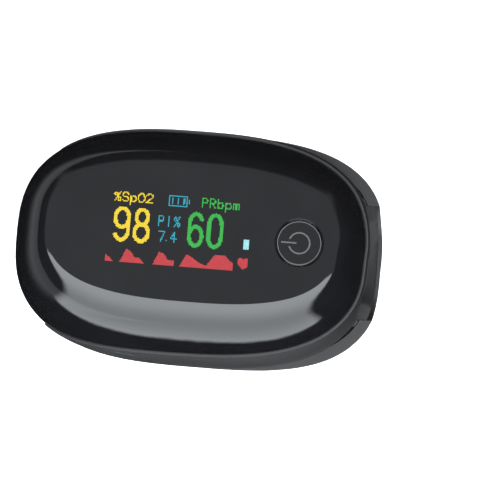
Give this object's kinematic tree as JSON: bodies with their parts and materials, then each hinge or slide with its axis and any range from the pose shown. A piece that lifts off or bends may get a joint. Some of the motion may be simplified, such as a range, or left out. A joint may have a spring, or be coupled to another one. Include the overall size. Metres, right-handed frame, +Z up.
{
  "type": "fingertip pulse oximeter",
  "caption": "Sprung fingertip clip in two plastic halves with a gloss display cover, power button, silicone finger pads, cells, sensor and sliding battery cover",
  "frame": {"origin": "middle of the flat underside", "axes": "+X out of the finger opening, +Z up through the display"},
  "size_m": [0.0587, 0.0376, 0.033],
  "materials": {
    "gloss_black": "piano black gloss",
    "matt_black": "fine spark-eroded texture",
    "frame_black": "plain moulded",
    "silicone": "matt silicone",
    "steel": "bright spring steel",
    "board_green": "solder mask",
    "chip_black": "moulded package",
    "display_glass": "dark panel glass",
    "clear_window": "clear",
    "foam": "closed-cell foam",
    "ribbon_amber": "polyimide film",
    "cell_jacket": "printed jacket",
    "led_white": "sensor package"
  },
  "bodies": {
    "lower_half": {"lower_case": "matt_black", "lower_frame": "frame_black", "lower_finger_pad": "silicone", "hinge_pin": "steel", "torsion_springs": "steel", "battery_springs": "steel", "bridge_contact": "steel", "positive_contact": "steel", "negative_contact": "steel", "lower_screws": "steel", "photodiode_board": "board_green", "sensor_ribbon": "ribbon_amber", "power_leads": "chip_black", "photodiode_window": "clear_window", "photodiode": "chip_black", "batteries": "cell_jacket"},
    "upper_half": {"top_cover": "gloss_black", "upper_case": "matt_black", "upper_frame": "frame_black", "upper_finger_pad": "silicone", "upper_screws": "steel", "board_screws": "steel", "main_board": "board_green", "board_chips": "chip_black", "display_panel": "display_glass", "display_foam": "foam", "display_ribbon": "ribbon_amber", "emitter_window": "clear_window", "emitter_led": "led_white", "emitter_board": "board_green", "tact_switch": "steel"},
    "button": {"power_button": "gloss_black", "switch_plunger": "chip_black"},
    "hatch": {"battery_cover": "matt_black"}
  },
  "joints": [
    {"name": "jaw_hinge", "type": "hinge", "parent": "lower_half", "child": "upper_half", "pos_m": [-0.0105, 0, 0.016], "axis": [0, -1, 0], "range_deg": [0, 18], "stiffness_Nm_per_rad": 0.15, "springref_deg": -11.46, "deforming": ["torsion_springs", "sensor_ribbon", "power_leads"]},
    {"name": "button_press", "type": "slide", "parent": "upper_half", "child": "button", "axis": [0, 0, -1], "range_m": [0, 0.0003]},
    {"name": "hatch_slide", "type": "slide", "parent": "lower_half", "child": "hatch", "axis": [-1, 0, 0], "range_m": [0, 0.05]}
  ]
}
